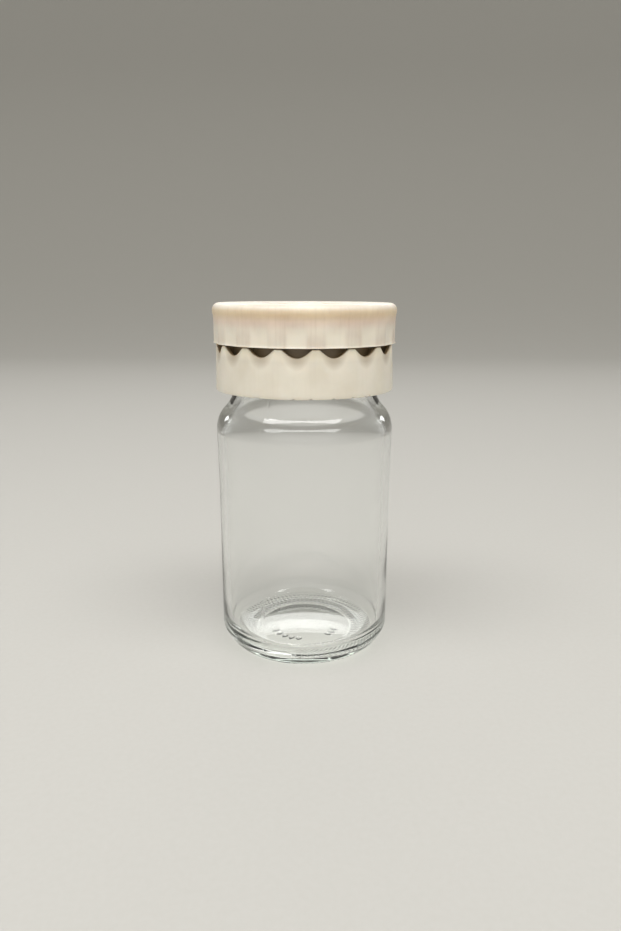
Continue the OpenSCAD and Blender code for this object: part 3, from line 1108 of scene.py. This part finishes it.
def threadNodes():
    # a round bead on a right-handed helix, half sunk in the skirt, thinning out at its ends
    group, given = newNodeGroup("collarThread", {
        "Geometry": "NodeSocketGeometry",
        "Pitch": "NodeSocketFloat",
        "Turns": "NodeSocketFloat",
        "Bead Radius": "NodeSocketFloat",
        "Path Radius": "NodeSocketFloat",
        "Start Height": "NodeSocketFloat",
        "Material": "NodeSocketMaterial",
    })
    sums = "ShaderNodeMath"
    height = addNode(group, sums, {"operation": "MULTIPLY"}, {0: given["Pitch"], 1: given["Turns"]}).outputs[0]
    helix = addNode(
        group,
        "GeometryNodeCurveSpiral",
        {"Resolution": 96},
        {
            "Rotations": given["Turns"],
            "Start Radius": given["Path Radius"],
            "End Radius": given["Path Radius"],
            "Height": height,
        },
    )
    along = addNode(group, "GeometryNodeSplineParameter").outputs["Factor"]
    ends = addNode(group, "ShaderNodeFloatCurve", {}, {"Value": along})
    curve = ends.mapping.curves[0]
    curve.points[0].location = (0.0, 0.05)
    curve.points[1].location = (1.0, 0.05)
    for x in (0.07, 0.93):
        curve.points.new(x, 1.0)
    ends.mapping.update()
    tapered = addNode(
        group, "GeometryNodeSetCurveRadius", {}, {"Curve": helix.outputs[0], "Radius": ends.outputs[0]})
    bead = addNode(
        group,
        "GeometryNodeCurvePrimitiveCircle",
        {"Resolution": 16},
        {"Radius": given["Bead Radius"]},
    )
    swept = addNode(
        group,
        "GeometryNodeCurveToMesh",
        {"Fill Caps": True},
        {"Curve": tapered.outputs[0], "Profile Curve": bead.outputs[0], "Scale": ends.outputs[0]},
    )
    lift = addNode(group, "ShaderNodeCombineXYZ", {}, {2: given["Start Height"]}).outputs[0]
    turned = addNode(
        group,
        "GeometryNodeTransform",
        {"Rotation": (0, 0, -math.pi / 2)},
        {"Geometry": swept.outputs[0], "Translation": lift},
    )
    real = addNode(group, "GeometryNodeRealizeInstances", {}, {0: turned.outputs[0]})
    dressed = addNode(
        group, "GeometryNodeSetMaterial", {}, {"Geometry": real.outputs[0], "Material": given["Material"]})
    addNode(group, "NodeGroupOutput", {}, {0: dressed.outputs[0]})
    return group


insideThread = newPiece("collarThread", bpy.data.meshes.new("collarThread"), None)
growNodes(insideThread, threadNodes(), {**collarThread, "Material": ivoryCollar})
softShade(insideThread, 60)
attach(insideThread, "collar")
print("thread made,", len(insideThread.data.polygons), "faces")

ribs = {
    "Count": 16,
    "Middle": 23.6 * mm,
    "Length": 2.2 * mm,
    "Thickness": 1.0 * mm,
    "Height": 4.4 * mm,
    "Foot": 82.5 * mm,
    "First": math.radians(collar["notchAt"] + 180 / collar["notches"] - 90),
}


def ribNodes():
    # ribs in the channel between the two skirts, one under each lobe
    group, given = newNodeGroup("skirtRibs", {
        "Geometry": "NodeSocketGeometry",
        "Count": "NodeSocketInt",
        "Middle": "NodeSocketFloat",
        "Length": "NodeSocketFloat",
        "Thickness": "NodeSocketFloat",
        "Height": "NodeSocketFloat",
        "Foot": "NodeSocketFloat",
        "First": "NodeSocketFloat",
        "Material": "NodeSocketMaterial",
    })
    sums = "ShaderNodeMath"
    half = addNode(group, sums, {"operation": "MULTIPLY", 1: 0.5}, {0: given["Height"]}).outputs[0]
    middle = addNode(group, sums, {"operation": "ADD"}, {0: given["Foot"], 1: half}).outputs[0]
    number = addNode(group, "GeometryNodeInputIndex").outputs[0]
    part = addNode(group, sums, {"operation": "DIVIDE"}, {0: number, 1: given["Count"]}).outputs[0]
    angle = addNode(
        group, sums, {"operation": "MULTIPLY_ADD", 1: fullTurn}, {0: part, 2: given["First"]}).outputs[0]
    cosine = addNode(group, sums, {"operation": "COSINE"}, {0: angle}).outputs[0]
    sine = addNode(group, sums, {"operation": "SINE"}, {0: angle}).outputs[0]
    x = addNode(group, sums, {"operation": "MULTIPLY"}, {0: cosine, 1: given["Middle"]}).outputs[0]
    y = addNode(group, sums, {"operation": "MULTIPLY"}, {0: sine, 1: given["Middle"]}).outputs[0]
    spot = addNode(group, "ShaderNodeCombineXYZ", {}, {0: x, 1: y, 2: middle}).outputs[0]
    points = addNode(group, "GeometryNodePoints", {}, {"Count": given["Count"], "Position": spot})
    size = addNode(
        group,
        "ShaderNodeCombineXYZ",
        {},
        {0: given["Length"], 1: given["Thickness"], 2: given["Height"]},
    ).outputs[0]
    plate = addNode(group, "GeometryNodeMeshCube", {}, {"Size": size})
    turn = addNode(group, "ShaderNodeCombineXYZ", {}, {2: angle}).outputs[0]
    plates = addNode(
        group,
        "GeometryNodeInstanceOnPoints",
        {},
        {"Points": points.outputs[0], "Instance": plate.outputs[0], "Rotation": turn},
    )
    real = addNode(group, "GeometryNodeRealizeInstances", {}, {0: plates.outputs[0]})
    dressed = addNode(
        group, "GeometryNodeSetMaterial", {}, {"Geometry": real.outputs[0], "Material": given["Material"]})
    addNode(group, "NodeGroupOutput", {}, {0: dressed.outputs[0]})
    return group


skirtRibs = newPiece("skirtRibs", bpy.data.meshes.new("skirtRibs"), None)
growNodes(skirtRibs, ribNodes(), {**ribs, "Material": ivoryCollar})
softShade(skirtRibs, 30)
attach(skirtRibs, "collar")
print("ribs made,", len(skirtRibs.data.polygons), "faces")


# Stays under the deck and the two stops on the boss

stays = {"thickness": 1.0, "height": 3.6, "first": 60}
stops = {"height": 2.6, "foot": 94.5, "depth": 1.9, "half": 4, "at": 128.8, "lug": 180}


def blockMesh(name, blocks, bevel):
    # each block is (inner radius, outer radius, half width in degrees or mm, angle, low, high),
    # with the width in degrees where bent is true
    shape = bmesh.new()
    for inner, outer, half, at, low, high, bent in blocks:
        steps = 6 if bent else 1
        rings = []
        for height in (low, high):
            ring = []
            for radius, direction in ((inner, 1), (outer, -1)):
                for i in range(steps + 1):
                    side = direction * (2 * i / steps - 1)
                    if bent:
                        x, y = around(math.radians(at + side * half), radius)
                    else:
                        facing = math.radians(at)
                        x = radius * math.sin(facing) + side * half * math.cos(facing)
                        y = -radius * math.cos(facing) + side * half * math.sin(facing)
                    ring.append(shape.verts.new((x * mm, y * mm, height * mm)))
            rings.append(ring)
        count = len(rings[0])
        for i in range(count):
            j = (i + 1) % count
            shape.faces.new((rings[0][i], rings[0][j], rings[1][j], rings[1][i]))
        shape.faces.new(rings[0][::-1])
        shape.faces.new(rings[1])
    bmesh.ops.recalc_face_normals(shape, faces=shape.faces)
    sharp = [edge for edge in shape.edges if edge.calc_face_angle(0) > math.radians(40)]
    bmesh.ops.bevel(shape, geom=sharp, offset=bevel * mm, segments=2, affect="EDGES")
    mesh = bpy.data.meshes.new(name)
    shape.to_mesh(mesh)
    shape.free()
    return mesh


def collarBlocks():
    under = collarBox["top"] - collar["deck"]
    bossIn = collar["bossRadius"] - collar["boss"]
    blocks = [
        (collar["hubRadius"] - 0.5, bossIn + 0.4, stays["thickness"] / 2, stays["first"] + 120 * i,
         under - stays["height"], under + 0.4, False)
        for i in range(3)
    ]
    blocks += [
        (collar["bossRadius"] - 0.4, collar["bossRadius"] + stops["depth"], stops["half"],
         stops["lug"] + side * stops["at"], stops["foot"], stops["foot"] + stops["height"], True)
        for side in (-1, 1)
    ]
    return blocks


deckStays = newPiece("deckStays", blockMesh("deckStays", collarBlocks(), 0.15), ivoryCollar)
softShade(deckStays, 40)
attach(deckStays, "collar")
print("stays and stops made,", len(deckStays.data.polygons), "faces")


# Dial

dial = {
    "skirt": 1.7,
    "waist": 0.28,
    "lipRun": 2.4,
    "round": 2.0,
    "thickness": 1.9,
    "bead": 0.08,
    "beadHeight": 0.5,
    "pin": 3.0,
    "barb": 0.7,
    "barbHeight": 1.8,
    "barbGap": 0.2,
    "core": 1.3,
    "gate": 1.4,        # radius of the mark that the mould's gate leaves on top
}
flutes = {
    "Count": 16.0,
    "First": math.radians(collar["notchAt"]),
    "Half Width": 2.9 * mm,
    "Depth": 0.32 * mm,
    "Low": (collar["ledgeHeight"] + 3.3) * mm,
    "High": (dialBox["top"] - dial["round"] - 2.1) * mm,
    "Inner Edge": 25.6 * mm,
}
window = {"inner": 7.5, "outer": 19.5, "half": 36, "corner": 2.5, "bevel": 0.5}


def dialRows():
    radius, top = dialBox["radius"], dialBox["top"]
    bottom = collar["ledgeHeight"] + 0.3
    under = top - dial["thickness"]
    waist = radius - dial["waist"]
    inner = radius - dial["skirt"]
    lip = top - dial["round"]
    bead, rise = dial["bead"], dial["beadHeight"]
    fine, coarse, few = 768, 192, 48

    outside = [(inner + 0.4, bottom), (waist - 0.3, bottom), (waist + bead, bottom + 0.02)]
    outside += [(waist + 2 * bead, bottom + bead), (waist + 1.9 * bead, bottom + 2 * bead)]
    outside += [(waist + bead * 0.5, bottom + 0.8 * rise), (waist, bottom + rise + 0.1)]
    outside += linePoints(outside[-1], (waist, lip - dial["lipRun"]), 14)
    outside += [
        (waist + dial["waist"] * (1 - math.cos(math.pi * i / 8)) / 2, lip - dial["lipRun"] * (1 - i / 8))
        for i in range(1, 9)
    ]
    outside += arcPoints((radius - dial["round"], lip), dial["round"], 0, 90, 10, 1)
    rows = [(fine, still(p)) for p in outside]
    rows += [(coarse, still((r, top))) for r in (22, 14, 6)]
    gate = dial["gate"]
    rows += [(few, still(p)) for p in ((gate + 0.3, top), (gate + 0.15, top - 0.12), (gate, top - 0.12))]
    rows += [(few, still(p)) for p in ((gate - 0.15, top - 0.02), (0.5, top - 0.02))]
    rows.append((1, still((0, top - 0.05))))

    catch = collarBox["top"] - collar["hubHeight"] - dial["barbGap"]
    foot = catch - dial["barbHeight"]
    pin, barb = dial["pin"], dial["barb"]
    inside = [
        (dial["core"] - 0.3, under - 0.5),
        (dial["core"], under - 0.8),
        (dial["core"], foot + 0.2),
        (dial["core"] + 0.2, foot),
        (pin - 0.8, foot),
        (pin - 0.6, foot + 0.2),
        (pin + barb - 0.05, catch - 0.55),
        (pin + barb, catch - 0.4),
        (pin + barb - 0.1, catch),
        (pin, catch),
        (pin, under - 0.2),
        (pin + 0.2, under),
    ]
    rest = [
        (12, under),
        (20, under),
        (inner - 0.6, under),
        (inner - 0.18, under - 0.18),
        (inner, under - 0.6),
        (inner, bottom + 3),
        (inner, bottom + 0.4),
    ]
    rows.append((1, still((0, under - 0.5))))
    return rows, [(few, still(p)) for p in inside] + [(coarse, still(p)) for p in rest]


def dialMesh():
    # the outside ends on the axis and the inside starts there, and they meet at the skirt's foot
    outside, inside = dialRows()
    return turnedMesh("dialCap", outside + inside, True)


def fluteNodes():
    # Shallow round hollows round the skirt, with plain edges, that run out below the lip
    group, given = newNodeGroup("dialFlutes", {
        "Geometry": "NodeSocketGeometry",
        "Count": "NodeSocketFloat",
        "First": "NodeSocketFloat",
        "Half Width": "NodeSocketFloat",
        "Depth": "NodeSocketFloat",
        "Low": "NodeSocketFloat",
        "High": "NodeSocketFloat",
        "Inner Edge": "NodeSocketFloat",
        "Material": "NodeSocketMaterial",
    })
    sums = "ShaderNodeMath"
    position = addNode(group, "GeometryNodeInputPosition").outputs[0]
    axes = addNode(group, "ShaderNodeSeparateXYZ", {}, {0: position}).outputs
    level = addNode(group, "ShaderNodeVectorMath", {"operation": "MULTIPLY", 1: (1, 1, 0)}, {0: position})
    radius = addNode(group, "ShaderNodeVectorMath", {"operation": "LENGTH"}, {0: level.outputs[0]}).outputs[1]
    outward = addNode(group, "ShaderNodeVectorMath", {"operation": "NORMALIZE"}, {0: level.outputs[0]})
    front = addNode(group, sums, {"operation": "MULTIPLY", 1: -1.0}, {0: axes[1]}).outputs[0]
    angle = addNode(group, sums, {"operation": "ARCTAN2"}, {0: axes[0], 1: front}).outputs[0]
    turned = addNode(group, sums, {"operation": "SUBTRACT"}, {0: angle, 1: given["First"]}).outputs[0]
    turn = addNode(group, sums, {"operation": "DIVIDE", 1: fullTurn}, {0: turned}).outputs[0]
    laps = addNode(group, sums, {"operation": "MULTIPLY_ADD", 2: 0.5}, {0: turn, 1: given["Count"]}).outputs[0]
    part = addNode(group, sums, {"operation": "FLOORED_MODULO", 1: 1.0}, {0: laps}).outputs[0]
    off = addNode(group, sums, {"operation": "SUBTRACT", 1: 0.5}, {0: part}).outputs[0]
    girth = addNode(group, sums, {"operation": "MULTIPLY", 1: fullTurn}, {0: radius}).outputs[0]
    pitch = addNode(group, sums, {"operation": "DIVIDE"}, {0: girth, 1: given["Count"]}).outputs[0]
    aside = addNode(group, sums, {"operation": "MULTIPLY"}, {0: off, 1: pitch}).outputs[0]
    part = addNode(group, sums, {"operation": "DIVIDE"}, {0: aside, 1: given["Half Width"]}).outputs[0]
    square = addNode(group, sums, {"operation": "MULTIPLY"}, {0: part, 1: part}).outputs[0]
    bowl = addNode(group, sums, {"operation": "SUBTRACT", 0: 1.0}, {1: square}).outputs[0]
    bowl = addNode(group, sums, {"operation": "MAXIMUM", 1: 0.0}, {0: bowl}).outputs[0]
    floor = addNode(
        group,
        "ShaderNodeMapRange",
        {"interpolation_type": "SMOOTHSTEP", "To Max": 0.0},
        {"Value": axes[2], "From Min": given["Low"], "From Max": given["High"], "To Min": given["Depth"]},
    ).outputs[0]
    hollow = addNode(group, sums, {"operation": "MULTIPLY"}, {0: floor, 1: bowl}).outputs[0]
    skin = addNode(group, sums, {"operation": "GREATER_THAN"}, {0: radius, 1: given["Inner Edge"]}).outputs[0]
    inward = addNode(group, sums, {"operation": "MULTIPLY"}, {0: hollow, 1: skin}).outputs[0]
    inward = addNode(group, sums, {"operation": "MULTIPLY", 1: -1.0}, {0: inward}).outputs[0]
    push = addNode(group, "ShaderNodeVectorMath", {"operation": "SCALE"}, {0: outward.outputs[0], "Scale": inward})
    moved = addNode(
        group, "GeometryNodeSetPosition", {}, {"Geometry": given["Geometry"], "Offset": push.outputs[0]})
    real = addNode(group, "GeometryNodeRealizeInstances", {}, {0: moved.outputs[0]})
    dressed = addNode(
        group, "GeometryNodeSetMaterial", {}, {"Geometry": real.outputs[0], "Material": given["Material"]})
    addNode(group, "NodeGroupOutput", {}, {0: dressed.outputs[0]})
    return group


def windowLayers():
    top = dialBox["top"]

    def grown(by):
        return sectorOutline(
            window["inner"] - by, window["outer"] + by, window["half"] + 1.5 * by, window["corner"] + by, 0)

    bevel = window["bevel"]
    return [
        (top - dial["thickness"] - 0.2, grown(0)),
        (top - bevel, grown(0)),
        (top - 0.3 * bevel, grown(0.3 * bevel)),
        (top, grown(bevel)),
        (top + 1, grown(bevel)),
    ]


dialCap = newPiece("dialCap", dialMesh(), ivoryDial)
growNodes(dialCap, fluteNodes(), {**flutes, "Material": ivoryDial})
cutAway(dialCap, loftedCutter("window", windowLayers()))
pinFoot = collarBox["top"] - collar["hubHeight"] - dial["barbGap"] - dial["barbHeight"]
slotBox = [(-2 * dial["pin"], 2 * dial["pin"], 0.55, 90 * i, pinFoot - 1, pinFoot + 4.6, False) for i in (0, 1)]
for number, block in enumerate(slotBox):
    cutAway(dialCap, newPiece("slot" + str(number), blockMesh("slot", [block], 0.02), None))
softShade(dialCap, 40)
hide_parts("dial_cap")
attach(dialCap, "dial")
print("dial made,", len(dialCap.data.polygons), "faces")

lugBlock = [(
    dialBox["radius"] - dial["skirt"] - 1.1,
    dialBox["radius"] - dial["skirt"] + 0.3,
    stops["half"], stops["lug"], stops["foot"], stops["foot"] + stops["height"], True,
)]
dialLug = newPiece("dialLug", blockMesh("dialLug", lugBlock, 0.15), ivoryDial)
softShade(dialLug, 40)
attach(dialLug, "dial")
print("lug made,", len(dialLug.data.polygons), "faces")


# Floor and backdrop in one sweep of card

sweep = {"half": 1600, "front": -1400, "back": 1500, "round": 600, "height": 2200}


def sweepMesh():
    shape = bmesh.new()
    turnPoint = sweep["back"] - sweep["round"]
    path = [(sweep["front"], 0), (turnPoint, 0)]
    path += arcPoints((turnPoint, sweep["round"]), sweep["round"], -90, 0, 24, 1)
    path.append((sweep["back"], sweep["height"]))
    sides = [
        [shape.verts.new((side * sweep["half"] * mm, y * mm, z * mm)) for y, z in path] for side in (-1, 1)
    ]
    for i in range(len(path) - 1):
        shape.faces.new((sides[0][i], sides[1][i], sides[1][i + 1], sides[0][i + 1]))
    mesh = bpy.data.meshes.new("studioSweep")
    shape.to_mesh(mesh)
    shape.free()
    mesh.shade_smooth()
    return mesh


studioSweep = newPiece("studioSweep", sweepMesh(), floorCard)


# Camera, as the photograph was taken

shot = {
    "distance": 207.3,   # from the jar's axis
    "height": 107.5,
    "down": 0.246,       # radians below the level
    "right": 0.0088,     # radians to the right of the jar
    "roll": 0.0024,
    "lens": 27.03,
    "sensor": 36.0,
}


def addCamera():
    camera = bpy.data.objects.new("camera", bpy.data.cameras.new("camera"))
    bpy.context.scene.collection.objects.link(camera)
    camera.data.lens = shot["lens"]
    camera.data.sensor_width = shot["sensor"]
    camera.data.sensor_fit = "AUTO"
    camera.data.clip_start = 0.01
    sine, cosine = math.sin(shot["right"]), math.cos(shot["right"])
    forward = Vector((sine * math.cos(shot["down"]), cosine * math.cos(shot["down"]), -math.sin(shot["down"])))
    right = Vector((cosine, -sine, 0))
    up = right.cross(forward)
    rightRolled = right * math.cos(shot["roll"]) + up * math.sin(shot["roll"])
    upRolled = up * math.cos(shot["roll"]) - right * math.sin(shot["roll"])
    turn = Matrix((rightRolled, upRolled, -forward)).transposed().to_4x4()
    place = Matrix.Translation((0, -shot["distance"] * mm, shot["height"] * mm))
    camera.matrix_world = place @ turn
    bpy.context.scene.camera = camera
    return camera


addCamera()


# Light: a long soft lamp overhead, a weaker one high up behind that the thick base of the jar
# gathers, and a soft room, paler above and in front

lamps = {
    "overhead": {"at": (-0.05, -0.2, 0.7), "size": (0.95, 0.22), "power": 4.2, "tip": 0, "spread": 180},
    "behind": {"at": (0.0, 1.36, 0.76), "size": (1.7, 0.44), "power": 1.5, "tip": 61, "spread": 90},
}
room = {"top": 0.66, "front": 0.74, "side": 0.9, "level": 0.37}


def addLamp(name):
    # a lamp looks straight down, or forward to the jar by its tip in degrees
    look = lamps[name]
    light = bpy.data.lights.new(name, "AREA")
    light.shape = "RECTANGLE"
    light.size, light.size_y = look["size"]
    light.energy = look["power"]
    light.spread = math.radians(look["spread"])
    holder = bpy.data.objects.new(name, light)
    holder.location = look["at"]
    holder.rotation_euler = (math.radians(-look["tip"]), 0, 0)
    holder.visible_camera = False
    bpy.context.scene.collection.objects.link(holder)


def softRoom():
    # dim to the sides, so that the glass shows its edges, and brightest high up in front
    world = bpy.data.worlds.new("softRoom")
    bpy.context.scene.world = world
    world.use_nodes = True
    tree = world.node_tree
    tree.nodes.clear()
    direction = addNode(tree, "ShaderNodeTexCoord").outputs["Generated"]
    axes = addNode(tree, "ShaderNodeSeparateXYZ", {}, {0: direction}).outputs
    aside = addNode(tree, "ShaderNodeMath", {"operation": "ABSOLUTE"}, {0: axes[0]}).outputs[0]
    dim = addNode(
        tree,
        "ShaderNodeMapRange",
        {"interpolation_type": "SMOOTHSTEP", "From Min": 0.45, "From Max": 0.95, "To Min": 1.0,
         "To Max": room["side"]},
        {"Value": aside},
    ).outputs[0]
    above = addNode(
        tree,
        "ShaderNodeMapRange",
        {"From Min": 0.0, "From Max": 0.9, "To Min": room["level"], "To Max": room["top"]},
        {"Value": axes[2]},
    ).outputs[0]
    # a wide glow around 30 degrees up in front
    toFront = addNode(
        tree, "ShaderNodeVectorMath", {"operation": "DOT_PRODUCT", 1: (0.0, -0.87, 0.5)}, {0: direction})
    glow = addNode(
        tree,
        "ShaderNodeMapRange",
        {"interpolation_type": "SMOOTHSTEP", "From Min": 0.35, "From Max": 1.0, "To Max": room["front"]},
        {"Value": toFront.outputs["Value"]},
    ).outputs[0]
    both = addNode(tree, "ShaderNodeMath", {"operation": "ADD"}, {0: above, 1: glow}).outputs[0]
    strength = addNode(tree, "ShaderNodeMath", {"operation": "MULTIPLY"}, {0: dim, 1: both}).outputs[0]
    background = addNode(
        tree, "ShaderNodeBackground", {"Color": hexColour("#FBFAF7")}, {"Strength": strength})
    addNode(tree, "ShaderNodeOutputWorld", {}, {"Surface": background.outputs[0]})


for lampName in lamps:
    addLamp(lampName)
softRoom()
bpy.context.scene.view_settings.view_transform = "Standard"
print("camera and lights placed")
